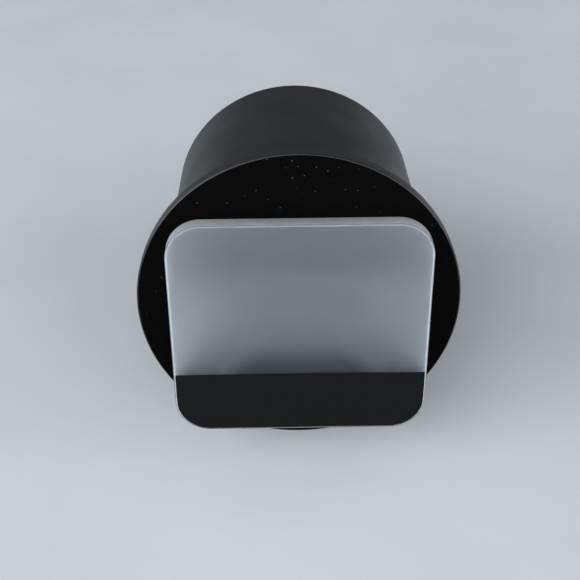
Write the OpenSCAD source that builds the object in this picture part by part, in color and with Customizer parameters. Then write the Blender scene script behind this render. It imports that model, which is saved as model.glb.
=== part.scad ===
// Slide duplicator: a telescoping tube that screws to a copying lens and holds a mounted
// slide in front of it, between a black disc with a film window and a milky diffusing plate.
// The optical axis lies along Y, with the lens at +Y and the light at -Y. Z is up.
// The origin is on that axis, on the shoulder that seats against the lens.

/* [Slide] */
// Width of the mounted slide
slide_w = 50; // [48:0.5:52]
// Height of the mounted slide
slide_h = 50; // [48:0.5:52]
// Thickness of the thickest slide mount
slide_max_t = 3; // [2:0.1:3.5]
// Room for the pressed clips in front of that mount
clip_room = 4.85; // [4.5:0.05:6]
// Free space at each side of the slide
slide_side_gap = 0.4; // [0.2:0.1:0.8]

/* [Front disc] */
// Width of the film window
window_w = 36; // [30:0.5:38]
// Height of the film window
window_h = 24; // [20:0.5:26]
// Thickness of the lip that frames the film
window_lip = 1.2; // [0.8:0.1:2]
// Width of the step behind that lip
window_step = 2; // [1:0.1:3]
// Thickness of the front disc
disc_t = 3.4; // [2.8:0.1:5]
// How far the disc's rim stands out past the barrel
disc_rim = 5.5; // [4.5:0.1:8]
// Length of the spigot that holds the barrel
spigot_l = 4; // [3.5:0.1:6]
// Thickness of the spigot
spigot_wall = 2; // [1.6:0.1:2.4]

/* [Diffusing plate] */
// Height of the diffusing plate
plate_h = 53.8; // [48:0.1:58]
// Thickness of the diffusing plate
plate_t = 3.25; // [2:0.05:5]
// Corner radius of the diffusing plate
plate_corner_r = 8; // [7:0.5:9]
// Height of the black band at the foot of the plate
band_h = 15.7; // [14.5:0.1:18]
// Thickness of the band
band_t = 0.15; // [0.1:0.05:0.3]
// Margin of bare plate round the band
band_margin = 0.4; // [0.2:0.1:0.8]

/* [Slide rest] */
// Width of each side post of the rest
post_w = 3.55; // [3.3:0.05:4.5]
// Height of the bar that the slide stands on
bar_h = 2.7; // [2.5:0.1:4]
// Length of the screws that hold the rest
rest_screw_l = 8; // [6:0.5:8.5]

/* [Slide clips] */
// Thickness of the spring strip
clip_t = 0.4; // [0.3:0.05:0.5]
// How far a clip reaches in over the slide's border
clip_reach = 3.5; // [3:0.1:5]
// Length of the flat foot
clip_foot_l = 9.5; // [9:0.1:10.5]
// Height of the bend that presses the slide, above the window's middle
clip_contact_z = 8; // [4:0.5:12]
// Radius of that bend
clip_bend_r = 1.5; // [1:0.1:2.5]
// Lean of the lead-in tip
clip_tip_angle = 28; // [15:1:35]
// Length of the lead-in tip
clip_tip_l = 6; // [4:0.5:8]
// Depth of the pocket for the foot and its rivet heads
clip_pocket_d = 0.9; // [0.85:0.05:1.2]
// Free space between an empty clip and the disc
clip_rest_gap = 0.3; // [0.2:0.05:0.6]

/* [Telescoping tubes] */
// Outside diameter of the inner tube
tube_d = 58; // [56:0.5:62]
// Wall of the inner tube
tube_wall = 1.5; // [1.3:0.1:2]
// Space between the inner tube and the barrel
tube_space = 1.4; // [1.3:0.05:2]
// Wall of the barrel
barrel_wall = 1.6; // [1.2:0.1:2.5]
// How far the barrel pulls out
travel = 30; // [15:1:40]
// Length of the end sleeve that carries the felt
sleeve_l = 13; // [9:0.5:16]
// Width of the sleeve's lips at both ends of the felt
sleeve_lip = 1.2; // [0.8:0.1:1.6]
// Thickness of the felt
felt_t = 0.65; // [0.5:0.05:0.7]
// Width of the bearing ring
bearing_w = 4; // [3:0.1:6]
// Depth of the groove that holds the bearing ring
bearing_groove_d = 0.6; // [0.4:0.05:0.8]
// Gap in the split bearing ring
bearing_split = 2; // [1:0.1:4]
// Length of tube in front of the bearing ring
tube_lip = 2; // [1.5:0.1:4]
// Free space between the tube's front end and the spigot
tube_front_gap = 2.2; // [1:0.1:4]
// Pitch of the ridges that darken the tube's bore
ridge_pitch = 1.5; // [1:0.1:3]
// Depth of those ridges
ridge_d = 0.35; // [0.2:0.05:0.45]

/* [Lens ring] */
// Outside diameter of the lens thread
thread_d = 52; // [49:0.5:54]
// Length of the lens thread
thread_l = 3.6; // [3:0.1:5]
// Wall of the threaded collar
thread_wall = 1.2; // [1:0.1:1.5]
// Width of the seat for the ring's screws, inside the collar
ring_seat_w = 2.8; // [2.7:0.1:3.5]
// Width of the knurled grip
grip_w = 2; // [1.5:0.1:3]
// Height of the grip above the inner tube
grip_step = 1.8; // [1.2:0.1:2.4]
// Number of notches in the grip
grip_notches = 72; // [48:1:96]
// Thickness of the tube's rear wall, which the ring is screwed to
rear_wall_t = 2; // [1.5:0.1:3]

/* [Screws] */
// Thread diameter of the small screws
screw_d = 1.6; // [1.4:0.1:1.7]
// Head diameter of the small screws
screw_head_d = 2.6; // [2.4:0.1:2.7]
// Depth of the cross recess in a screw head
recess_d = 0.5; // [0.3:0.05:0.6]
// Diameter of the set screws that lock the barrel
set_screw_d = 2; // [1.6:0.1:2.4]
// Length of the set screws
set_screw_l = 2.6; // [2.2:0.1:3]

/* [Hidden] */
$fn = 96;

// Clearances and small details
cut = 1;                 // how far a cutting shape runs past the face that it cuts
joint_gap = 0.02;        // between pieces that are screwed or glued together
running_gap = 0.05;      // between round faces that slide or turn
stop_gap = 0.3;          // between parts that meet at the end of their travel
edge_chamfer = 0.3;      // on turned edges
thread_chamfer = 0.4;    // at the start of the lens thread
screw_hole_gap = 0.1;    // round a screw where it passes through
screw_edge = 0.7;        // from the barrel to the heads beside it
clip_edge_gap = 0.45;    // from a clip to the plate's side edge
leaf_gap = 0.1;          // between a clip's foot and its leaf, where the strip bends
rivet_r = 0.5;
rivet_head_r = 1;
rivet_head_h = 0.4;
rivet_grip = 1.6;        // length of a rivet in the post
rivet_drops = [2.5, 6.5]; // of the rivets below the top of the post
notch_size = 0.55;       // half the width of a grip notch
spanner_slot_w = 2.5;
spanner_slot_d = 0.9;
recess_w = 0.35;         // width of each arm of a cross recess
socket_d = 1;            // across the corners of a set screw's socket
pan_head_h = 0.8;
black = "#1c1d1f";
soft_black = "#121314";
steel = "#8d9196";

// Radii, from the inside out
tube_r = tube_d / 2;
tube_bore_r = tube_r - tube_wall;
groove_r = tube_r - bearing_groove_d;
barrel_bore_r = tube_r + tube_space;
barrel_r = barrel_bore_r + barrel_wall;
disc_r = barrel_r + disc_rim;
spigot_r = barrel_bore_r - joint_gap;
sleeve_bore_r = tube_r + stop_gap;
felt_bore_r = tube_r + running_gap;
felt_r = felt_bore_r + felt_t;
thread_r = thread_d / 2;
collar_bore_r = thread_r - thread_wall;
ring_bore_r = collar_bore_r - ring_seat_w;
grip_r = tube_r + grip_step;
screw_r = screw_d / 2;
screw_head_r = screw_head_d / 2;
set_screw_r = set_screw_d / 2;

// Stations along the axis, from the lens shoulder at 0 to the front
slide_space = slide_max_t + clip_room; // from the front disc to the diffusing plate
tube_rear = -grip_w;
barrel_rear = tube_rear - stop_gap;
sleeve_front = barrel_rear - sleeve_l;
bearing_rear = sleeve_front - travel - stop_gap;
bearing_front = bearing_rear - bearing_w;
tube_front = bearing_front - running_gap - tube_lip;
spigot_rear = tube_front - tube_front_gap;
disc_rear = spigot_rear - spigot_l;
disc_front = disc_rear - disc_t;
plate_rear = disc_front - slide_space;
plate_front = plate_rear - plate_t;
set_screw_y = disc_rear + spigot_l / 2;

// Places across the axis
rest_half_w = slide_w / 2 + slide_side_gap;
plate_w = 2 * (rest_half_w + post_w);
bar_top = -slide_h / 2;
plate_bottom = bar_top - bar_h;
plate_mid_z = plate_bottom + plate_h / 2;
post_top = plate_bottom + band_h;
post_mid_x = rest_half_w + post_w / 2;
screw_circle_r = barrel_r + screw_edge + screw_head_r;
post_screw_z = -sqrt(pow(screw_circle_r, 2) - pow(post_mid_x, 2));
bar_mid_z = bar_top - bar_h / 2;
bar_screw_x = sqrt(pow(screw_circle_r, 2) - pow(bar_mid_z, 2));
rest_screw_places = [
    [post_mid_x, post_screw_z], [-post_mid_x, post_screw_z],
    [bar_screw_x, bar_mid_z], [-bar_screw_x, bar_mid_z]
];
ring_screw_r = (ring_bore_r + collar_bore_r) / 2;
ring_screw_l = grip_w + rear_wall_t;
set_screw_turns = [90, 210, 330];
ring_screw_turns = [30, 150, 270];

// Clips. A profile point is [distance behind the plate, height].
clip_inner_x = slide_w / 2 - clip_reach;
clip_outer_x = plate_w / 2 - clip_edge_gap;
clip_mid_x = (clip_inner_x + clip_outer_x) / 2;
clip_w = clip_outer_x - clip_inner_x;
foot_back = clip_pocket_d;
foot_bottom = post_top - clip_foot_l;
leaf_root = [foot_back - clip_t / 2, post_top + leaf_gap];
bend_mid = [slide_space - clip_rest_gap - clip_t / 2 - clip_bend_r, clip_contact_z];
root_to_bend = bend_mid - leaf_root;
leaf_lean = atan2(root_to_bend[0], root_to_bend[1]) + asin(clip_bend_r / norm(root_to_bend));
bend_steps = 8;
bend_sweep = leaf_lean + clip_tip_angle;
bend_turns = [for (i = [0:bend_steps]) i * bend_sweep / bend_steps - leaf_lean];
bend_points = [for (a = bend_turns) bend_mid + clip_bend_r * [cos(a), sin(a)]];
tip_way = [-sin(clip_tip_angle), cos(clip_tip_angle)];
leaf_tip = bend_points[bend_steps] + clip_tip_l * tip_way;
leaf_line = concat([leaf_root], bend_points, [leaf_tip]);

// Ridges of the tube's bore, from the rear wall to the groove. They are [radius, y] points.
ridges_front = bearing_rear + running_gap + ridge_pitch;
ridges_rear = tube_rear - rear_wall_t - ridge_pitch;
ridge_count = floor((ridges_rear - ridges_front) / ridge_pitch);
ridge_points = [
    for (i = [0:ridge_count - 1], p = [[0, 0], [ridge_d, 0.5]])
        [tube_bore_r + p[0], ridges_rear - (i + p[1]) * ridge_pitch]
];

echo(barrel_d = 2 * barrel_r, disc_d = 2 * disc_r, plate_w = plate_w);
echo(length_closed = thread_l - plate_front + band_t, barrel_l = barrel_rear - disc_rear);

// Turns a profile of [radius, y] points about the optical axis
module turned(points) {
    rotate([-90, 0, 0]) rotate_extrude() polygon(points);
}

// A plain ring about the axis from y0 to y1
module ring(y0, y1, r_in, r_out) {
    turned([[r_in, y0], [r_out, y0], [r_out, y1], [r_in, y1]]);
}

// Stands a flat outline, drawn as seen from the front, on the plane y and thickens it forward
module forward(y, t) {
    translate([0, y, 0]) rotate([90, 0, 0]) linear_extrude(t) children();
}

// A box through the disc, centred on the axis
module window_box(w, h, y0, y1) {
    translate([-w / 2, y0, -h / 2]) cube([w, y1 - y0, h]);
}

// Puts a shape that points along +Z at each rest screw, pointing forward
module at_rest_screws() {
    for (p = rest_screw_places)
        translate([p[0], disc_rear, p[1]]) rotate([90, 0, 0]) children();
}

// Puts a shape that points along +Z at each set screw, pointing at the axis
module at_set_screws() {
    for (a = set_screw_turns)
        rotate([0, a, 0]) translate([barrel_r, set_screw_y, 0]) rotate([0, -90, 0]) children();
}

// Puts a shape that points along +Z at each lens ring screw, pointing forward
module at_ring_screws() {
    for (a = ring_screw_turns)
        rotate([0, a, 0]) translate([ring_screw_r, 0, 0]) rotate([90, 0, 0]) children();
}

// Puts a shape that points along +Z at each rivet, pointing back into its post
module at_rivets(sides) {
    for (side = sides, drop = rivet_drops)
        translate([side * post_mid_x, plate_rear + foot_back, post_top - drop])
            rotate([-90, 0, 0]) children();
}

// A countersunk screw or the hole for it, with its head flush at z = 0 and grown by a gap
module countersunk(length, gap) {
    head_h = screw_head_r - screw_r;
    cylinder(r = screw_r + gap, h = length + gap);
    cylinder(r1 = screw_head_r + gap, r2 = screw_r + gap, h = head_h);
}

// The cross recess of a screw head whose top is at z = 0
module cross_recess(reach) {
    for (turn = [0, 90])
        rotate([0, 0, turn])
            translate([-reach, -recess_w / 2, -cut]) cube([2 * reach, recess_w, cut + recess_d]);
}

// The rounded outline of the diffusing plate, drawn in by an inset
module plate_outline(inset) {
    w = plate_w - 2 * inset;
    h = plate_h - 2 * inset;
    r = plate_corner_r - inset;
    translate([0, plate_mid_z]) {
        square([w, h - 2 * r], center = true);
        square([w - 2 * r, h], center = true);
        for (x = [-1, 1], z = [-1, 1])
            translate([x * (w / 2 - r), z * (h / 2 - r)]) circle(r);
    }
}

// The part of that outline below the top of the band
module lower_outline(inset) {
    intersection() {
        plate_outline(inset);
        translate([-plate_w, post_top - plate_h]) square([2 * plate_w, plate_h]);
    }
}

// Unit vector square to the line through the neighbours of point i
function side_of(line, i) =
    let (a = line[max(i - 1, 0)], b = line[min(i + 1, len(line) - 1)], d = (b - a) / norm(b - a))
    [-d[1], d[0]];

// Outline of a strip of thickness t that follows a line of points
function strip(line, t) = concat(
    [for (i = [0:len(line) - 1]) line[i] + side_of(line, i) * t / 2],
    [for (i = [len(line) - 1:-1:0]) line[i] - side_of(line, i) * t / 2]
);

module front_disc() {
    color(black) difference() {
        turned([
            [0, disc_front],
            [disc_r - edge_chamfer, disc_front],
            [disc_r, disc_front + edge_chamfer],
            [disc_r, disc_rear - edge_chamfer],
            [disc_r - edge_chamfer, disc_rear],
            [spigot_r, disc_rear],
            [spigot_r, spigot_rear],
            [spigot_r - spigot_wall, spigot_rear],
            [spigot_r - spigot_wall, disc_rear],
            [0, disc_rear]
        ]);
        window_box(window_w, window_h, disc_front - cut, disc_rear + cut);
        window_box(
            window_w + 2 * window_step, window_h + 2 * window_step,
            disc_front + window_lip, disc_rear + cut
        );
        at_rest_screws() countersunk(disc_t + cut, screw_hole_gap);
        at_set_screws() cylinder(r = set_screw_r + joint_gap, h = set_screw_l + joint_gap);
    }
}

module outer_barrel() {
    color(black) difference() {
        turned([
            [barrel_bore_r, disc_rear],
            [barrel_r, disc_rear],
            [barrel_r, barrel_rear - edge_chamfer],
            [barrel_r - edge_chamfer, barrel_rear],
            [barrel_bore_r, barrel_rear]
        ]);
        at_set_screws() translate([0, 0, -cut])
            cylinder(r = set_screw_r + joint_gap, h = barrel_wall + 2 * cut);
    }
}

module barrel_set_screws() {
    color(steel) at_set_screws() difference() {
        translate([0, 0, joint_gap]) cylinder(r = set_screw_r, h = set_screw_l - joint_gap);
        translate([0, 0, -cut]) cylinder(d = socket_d, h = cut + set_screw_l / 2, $fn = 6);
    }
}

module end_sleeve() {
    color(black) difference() {
        turned([
            [sleeve_bore_r, sleeve_front],
            [spigot_r, sleeve_front],
            [spigot_r, barrel_rear],
            [sleeve_bore_r, barrel_rear],
            [sleeve_bore_r, barrel_rear - sleeve_lip],
            [felt_r + joint_gap, barrel_rear - sleeve_lip],
            [felt_r + joint_gap, sleeve_front + sleeve_lip],
            [sleeve_bore_r, sleeve_front + sleeve_lip]
        ]);
        translate([-barrel_r, barrel_rear - spanner_slot_d, -spanner_slot_w / 2])
            cube([2 * barrel_r, spanner_slot_d + cut, spanner_slot_w]);
    }
}

module felt_lining() {
    color(soft_black)
        ring(sleeve_front + sleeve_lip, barrel_rear - sleeve_lip, felt_bore_r, felt_r);
}

module slide_rest() {
    color(black) difference() {
        forward(disc_front, slide_space) difference() {
            lower_outline(0);
            translate([-rest_half_w, bar_top]) square([2 * rest_half_w, slide_h]);
        }
        for (side = [-1, 1])
            translate([side * clip_mid_x - clip_w / 2 - joint_gap, plate_rear - cut, foot_bottom - joint_gap])
                cube([clip_w + 2 * joint_gap, cut + foot_back, clip_foot_l + cut]);
        at_rest_screws() cylinder(r = screw_r + joint_gap, h = rest_screw_l + joint_gap);
        at_rivets([-1, 1]) cylinder(r = rivet_r + joint_gap, h = rivet_grip + joint_gap);
    }
}

module slide_rest_screws() {
    color(steel) at_rest_screws() difference() {
        countersunk(rest_screw_l, 0);
        cross_recess(screw_r);
    }
}

module diffuser_plate() {
    color([0.86, 0.89, 0.92, 0.75]) forward(plate_rear, plate_t) plate_outline(0);
}

module front_band() {
    color(soft_black) forward(plate_front, band_t) lower_outline(band_margin);
}

module clip_foot(side) {
    color(steel) difference() {
        translate([side * clip_mid_x - clip_w / 2, plate_rear + foot_back - clip_t, foot_bottom])
            cube([clip_w, clip_t, clip_foot_l]);
        at_rivets([side]) translate([0, 0, -cut]) cylinder(r = rivet_r + joint_gap, h = 2 * cut);
    }
}

module clip_leaf(side) {
    color(steel) translate([side * clip_mid_x - clip_w / 2, plate_rear, 0]) rotate([90, 0, 90])
        linear_extrude(clip_w) polygon(strip(leaf_line, clip_t));
}

module clip_foot_left() { clip_foot(-1); }
module clip_foot_right() { clip_foot(1); }
module clip_leaf_left() { clip_leaf(-1); }
module clip_leaf_right() { clip_leaf(1); }

module clip_rivets() {
    color(steel) at_rivets([-1, 1]) {
        translate([0, 0, -clip_t - rivet_head_h]) cylinder(r = rivet_head_r, h = rivet_head_h);
        translate([0, 0, -clip_t - rivet_head_h])
            cylinder(r = rivet_r, h = rivet_head_h + clip_t + rivet_grip);
    }
}

module bearing_ring() {
    color("#2c2a27") difference() {
        ring(bearing_front, bearing_rear, groove_r + running_gap, barrel_bore_r - running_gap);
        translate([-bearing_split / 2, bearing_front - cut, -barrel_r])
            cube([bearing_split, bearing_w + 2 * cut, barrel_r]);
    }
}

module inner_tube() {
    color(black) difference() {
        turned(concat(
            [
                [tube_bore_r, tube_front],
                [tube_r, tube_front],
                [tube_r, bearing_front - running_gap],
                [groove_r, bearing_front - running_gap],
                [groove_r, bearing_rear + running_gap],
                [tube_r, bearing_rear + running_gap],
                [tube_r, tube_rear],
                [ring_bore_r, tube_rear],
                [ring_bore_r, tube_rear - rear_wall_t],
                [tube_bore_r, tube_rear - rear_wall_t]
            ],
            ridge_points,
            [[tube_bore_r, ridges_rear - ridge_count * ridge_pitch]]
        ));
        at_ring_screws() cylinder(r = screw_r + joint_gap, h = ring_screw_l + cut);
    }
}

module lens_ring() {
    color(black) difference() {
        turned([
            [ring_bore_r, tube_rear],
            [grip_r - edge_chamfer, tube_rear],
            [grip_r, tube_rear + edge_chamfer],
            [grip_r, -edge_chamfer],
            [grip_r - edge_chamfer, 0],
            [thread_r, 0],
            [thread_r, thread_l - thread_chamfer],
            [thread_r - thread_chamfer, thread_l],
            [collar_bore_r, thread_l],
            [collar_bore_r, 0],
            [ring_bore_r, 0]
        ]);
        for (i = [0:grip_notches - 1])
            rotate([0, i * 360 / grip_notches, 0]) translate([grip_r, tube_rear - cut, 0])
                rotate([-90, 0, 0]) cylinder(r = notch_size, h = grip_w + 2 * cut, $fn = 4);
        at_ring_screws() translate([0, 0, -cut])
            cylinder(r = screw_r + screw_hole_gap, h = grip_w + 2 * cut);
    }
}

module lens_ring_screws() {
    color(steel) at_ring_screws() difference() {
        union() {
            translate([0, 0, -pan_head_h]) cylinder(r = screw_head_r, h = pan_head_h);
            translate([0, 0, -pan_head_h]) cylinder(r = screw_r, h = pan_head_h + ring_screw_l);
        }
        translate([0, 0, -pan_head_h]) cross_recess(screw_r);
    }
}

front_disc();
outer_barrel();
barrel_set_screws();
end_sleeve();
felt_lining();
slide_rest();
slide_rest_screws();
diffuser_plate();
front_band();
clip_foot_left();
clip_foot_right();
clip_leaf_left();
clip_leaf_right();
clip_rivets();
bearing_ring();
inner_tube();
lens_ring();
lens_ring_screws();
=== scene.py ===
# %% [markdown]
# # Dressing a slide duplicator
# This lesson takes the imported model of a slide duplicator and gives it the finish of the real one. The
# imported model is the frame: its pieces are true to size but plain, and their round faces are made of flat
# strips. Each big piece is modelled again here with fine edges and smooth walls, in the place that the
# frame gives.

# %% Load the frame
import math

import bpy
from mathutils import Matrix, Vector


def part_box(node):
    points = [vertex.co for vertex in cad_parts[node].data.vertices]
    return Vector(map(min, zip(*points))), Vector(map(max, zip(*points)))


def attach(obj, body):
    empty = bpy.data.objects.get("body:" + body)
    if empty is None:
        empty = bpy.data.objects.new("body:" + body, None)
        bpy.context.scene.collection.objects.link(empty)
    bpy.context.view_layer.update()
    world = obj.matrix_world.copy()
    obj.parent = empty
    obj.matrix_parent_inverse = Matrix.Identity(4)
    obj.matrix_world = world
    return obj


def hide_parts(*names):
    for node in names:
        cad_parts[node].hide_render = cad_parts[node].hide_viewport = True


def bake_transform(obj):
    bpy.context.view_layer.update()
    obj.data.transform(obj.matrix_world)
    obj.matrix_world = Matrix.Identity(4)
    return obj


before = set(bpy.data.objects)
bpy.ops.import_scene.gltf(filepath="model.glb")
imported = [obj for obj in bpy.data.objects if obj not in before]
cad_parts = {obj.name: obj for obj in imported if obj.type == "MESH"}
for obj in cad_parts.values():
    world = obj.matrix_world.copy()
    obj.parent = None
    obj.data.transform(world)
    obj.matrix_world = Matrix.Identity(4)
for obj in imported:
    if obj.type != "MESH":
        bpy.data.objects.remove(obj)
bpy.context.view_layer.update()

# %% [markdown]
# ## Reading sizes from the frame
# A size that the frame holds is read from it, so that a piece always fits its neighbours. The optical
# axis lies along Y: the lens is at +Y, and the light and the viewer are at -Y. Z is up. Values here are
# in millimetres, the unit that the maker thinks in, and MM turns them into Blender's metres.

# %% Sizes of the main pieces
MM = 0.001


def box_mm(node):
    """Lowest and highest corner of a frame node, in millimetres."""
    low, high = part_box(node)
    return Vector(low) / MM, Vector(high) / MM


disc_low, disc_high = box_mm("front_disc")
barrel_low, barrel_high = box_mm("outer_barrel")
tube_low, tube_high = box_mm("inner_tube")
sleeve_low, sleeve_high = box_mm("end_sleeve")
bearing_low, bearing_high = box_mm("bearing_ring")
ring_low, ring_high = box_mm("lens_ring")
rest_low, rest_high = box_mm("slide_rest")
plate_low, plate_high = box_mm("diffuser_plate")
band_low, band_high = box_mm("front_band")

disc_r = disc_high.z
barrel_r = barrel_high.z
tube_r = tube_high.z
disc_front = disc_low.y
disc_rear = barrel_low.y
barrel_rear = barrel_high.y
EDGE_CHAMFER = 0.3
print(f"disc {2 * disc_r:.1f} mm, barrel {2 * barrel_r:.1f} mm by {barrel_rear - disc_rear:.1f} mm")

# %% [markdown]
# ## The camera
# The photograph looks down on the duplicator from a little above, with the plate facing the viewer. The
# angles, the distance and the focal length were found by fitting the outlines of the disc, the barrel's
# far rim and the plate. The camera aims at a point on the disc's front, near its middle.

# %% Camera
CAMERA_AZIMUTH = math.radians(-0.617)
CAMERA_ELEVATION = math.radians(30.748)
CAMERA_ROLL = math.radians(-0.476)
CAMERA_DISTANCE = 232.8 * MM
CAMERA_AIM = Vector((-2.061, disc_front, 3.680)) * MM
CAMERA_LENS = 62.80  # mm of focal length
CAMERA_SENSOR_W = 36
CAMERA_NEAREST = 10 * MM

away = Vector((
    math.sin(CAMERA_AZIMUTH) * math.cos(CAMERA_ELEVATION),
    -math.cos(CAMERA_AZIMUTH) * math.cos(CAMERA_ELEVATION),
    math.sin(CAMERA_ELEVATION),
))
level = (-away).cross(Vector((0, 0, 1))).normalized()
upward = level.cross(-away)
frame_right = level * math.cos(CAMERA_ROLL) + upward * math.sin(CAMERA_ROLL)
frame_top = upward * math.cos(CAMERA_ROLL) - level * math.sin(CAMERA_ROLL)

bpy.ops.object.camera_add(location=CAMERA_AIM + away * CAMERA_DISTANCE)
camera = bpy.context.object
camera.name = "camera"
camera.rotation_euler = Matrix((frame_right, frame_top, away)).transposed().to_euler()
camera.data.sensor_width = CAMERA_SENSOR_W
camera.data.lens = CAMERA_LENS
camera.data.clip_start = CAMERA_NEAREST
bpy.context.scene.camera = camera
print("camera at", tuple(round(v / MM, 1) for v in camera.location), "mm")

# %% [markdown]
# ## Helpers for finishes
# Every finish is a node material. One function turns the hex colour that a painter would write down into
# the linear values that Blender works in, one sets or links the inputs of a node, one adds a node, and
# one opens a new material with its Principled shader. Where a node is given as an input's value, its
# first output is meant. Patterns read Object coordinates, so that they stay put on their piece.

# %% Material helpers
def linear(hex_colour):
    """Turns an sRGB colour such as '#1c1d1f' into linear red, green, blue and alpha."""
    channels = [int(hex_colour[i:i + 2], 16) / 255 for i in (1, 3, 5)]
    return [c / 12.92 if c <= 0.04045 else ((c + 0.055) / 1.055) ** 2.4 for c in channels] + [1]


def fill(material, node, inputs):
    """Sets the inputs of a node, or links those whose value is another node or its output."""
    for name, value in inputs.items():
        if isinstance(value, bpy.types.Node):
            value = value.outputs[0]
        if isinstance(value, bpy.types.NodeSocket):
            material.node_tree.links.new(value, node.inputs[name])
        else:
            node.inputs[name].default_value = value


def add(material, kind, inputs=None, **settings):
    """Adds a node, sets its properties, and sets or links its inputs."""
    node = material.node_tree.nodes.new(kind)
    for name, value in settings.items():
        setattr(node, name, value)
    fill(material, node, inputs or {})
    return node


def new_finish(name, **values):
    """A new material, with values set on the Principled shader's own sockets."""
    material = bpy.data.materials.new(name)
    material.use_nodes = True
    shader = material.node_tree.nodes["Principled BSDF"]
    fill(material, shader, {socket.replace("_", " "): value for socket, value in values.items()})
    return material, shader


def per_mm(size):
    """The texture scale whose features are about this many millimetres apart."""
    return 1 / (size * MM)


# %% Pattern helpers
SPECK_CORE = 0.4  # share of its radius inside which a speck is palest


def add_grain(material, size, detail=3.0):
    """A fine even grain of a size in millimetres, as a grey value."""
    place = add(material, "ShaderNodeTexCoord").outputs["Object"]
    return add(material, "ShaderNodeTexNoise", {
        "Vector": place, "Scale": per_mm(size), "Detail": detail,
    }).outputs["Fac"]


def blend_colours(material, factor, first, second):
    """A colour between two others, each a hex colour or another node's output, led by a grey value."""
    first, second = (linear(tone) if isinstance(tone, str) else tone for tone in (first, second))
    return add(material, "ShaderNodeMix", {0: factor, 6: first, 7: second}, data_type="RGBA").outputs[2]


def add_specks(material, cell, radius, share, strength):
    """Small round specks: one place for each cell in millimetres, of which only a share has one."""
    place = add(material, "ShaderNodeTexCoord").outputs["Object"]
    cells = add(material, "ShaderNodeTexVoronoi", {"Vector": place, "Scale": per_mm(cell)}).outputs
    near = add(material, "ShaderNodeMapRange", {
        "Value": cells["Distance"], "From Min": radius / cell * SPECK_CORE, "From Max": radius / cell,
        "To Min": 1, "To Max": 0,
    })
    luck = add(material, "ShaderNodeSeparateColor", {"Color": cells["Color"]}).outputs["Red"]
    kept = add(material, "ShaderNodeMapRange", {"Value": luck, "From Min": 1 - share, "To Max": strength})
    return add(material, "ShaderNodeMath", {0: near, 1: kept}, operation="MULTIPLY")


def grained_finish(name, size, detail, tones, bump, depth, **values):
    """A finish whose colour and bump both follow one grain. Size and depth are in millimetres."""
    material, shader = new_finish(name, **values)
    grain = add_grain(material, size, detail)
    uneven = add(material, "ShaderNodeBump", {"Height": grain, "Strength": bump, "Distance": depth * MM})
    fill(material, shader, {"Base Color": blend_colours(material, grain, *tones), "Normal": uneven})
    print("made", name)
    return material


# %% [markdown]
# ## Turned and anodised aluminium
# The barrel, the rim of the disc, the tube and the lens ring are aluminium, turned on a lathe and then
# dyed black in the anodising bath. The eye sees a deep satin black that brightens towards the edges of
# each round wall, with the faint rings that the lathe tool left. The dyed oxide is a clear hard layer and
# not bare metal, so the shader isn't metallic. The rings follow the distance from the axis plus the place
# along it, which suits round walls and flat faces alike.

# %% Black anodised aluminium
ANODISED_BLACKS = ("#0e0f10", "#151617")
TOOL_MARK = 0.35  # mm from ring to ring; the real ones are near 0.1 mm, too fine to show
OXIDE_GRAIN = 0.45  # mm; the real grain is finer, and is drawn as coarse as it needs to show
SMUDGE = 14  # mm across one of the faint smudges
SATIN = (0.36, 0.46)  # roughness, from clean to smudged
MARK_DEPTH = 0.05 * MM


def add_tool_marks(material):
    """Rings left by a lathe tool, as a grey value that runs along and across the optical axis."""
    place = add(material, "ShaderNodeTexCoord").outputs["Object"]
    parts = add(material, "ShaderNodeSeparateXYZ", {0: place}).outputs
    across = add(material, "ShaderNodeCombineXYZ", {"X": parts["X"], "Z": parts["Z"]})
    radius = add(material, "ShaderNodeVectorMath", {0: across}, operation="LENGTH").outputs["Value"]
    travel = add(material, "ShaderNodeMath", {0: radius, 1: parts["Y"]}, operation="ADD")
    rings = add(
        material, "ShaderNodeTexNoise", {"W": travel, "Scale": per_mm(TOOL_MARK), "Detail": 2.0},
        noise_dimensions="1D",
    )
    return rings.outputs["Fac"]


anodised, shader = new_finish("black_anodised_turned_aluminium", IOR=1.5, Specular_IOR_Level=0.4)
rings = add_tool_marks(anodised)
grain = add_grain(anodised, OXIDE_GRAIN)
smudges = add_grain(anodised, SMUDGE, detail=2.0)
polish = add(anodised, "ShaderNodeMapRange", {
    "Value": smudges, "From Min": 0.3, "From Max": 0.7, "To Min": SATIN[0], "To Max": SATIN[1],
})
ring_bump = add(anodised, "ShaderNodeBump", {"Height": rings, "Strength": 0.12, "Distance": MARK_DEPTH})
grain_bump = add(anodised, "ShaderNodeBump", {
    "Height": grain, "Strength": 0.1, "Distance": MARK_DEPTH, "Normal": ring_bump,
})
fill(anodised, shader, {
    "Base Color": blend_colours(anodised, grain, *ANODISED_BLACKS),
    "Roughness": polish, "Normal": grain_bump,
})
print("made", anodised.name)

# %% [markdown]
# ## The dull face of the disc
# The face towards the slide must not throw light back through the film, so it is blasted before it is
# dyed. It comes out as the deepest black of the whole object, with hardly any gloss. It also holds dust:
# fine pale specks are scattered over it. A Voronoi pattern gives one dot to each cell, and the cell's own
# random colour decides whether the dot is there at all and how pale it is.

# %% Blasted black face with dust
FACE_BLACKS = ("#010101", "#030304")
DUST_GREY = "#8c8f93"
BLAST_PIT = 0.4  # mm across a pit
BLAST_DEPTH = 0.06 * MM

blasted, shader = new_finish("black_anodised_blasted_face", Roughness=0.6, Specular_IOR_Level=0.02)
dust = add_specks(blasted, cell=1.3, radius=0.12, share=0.5, strength=0.7)
pits = add_grain(blasted, BLAST_PIT)
clean = blend_colours(blasted, pits, *FACE_BLACKS)
pitted = add(blasted, "ShaderNodeBump", {"Height": pits, "Strength": 0.35, "Distance": BLAST_DEPTH})
fill(blasted, shader, {"Base Color": blend_colours(blasted, dust, clean, DUST_GREY), "Normal": pitted})
print("made", blasted.name)

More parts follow.
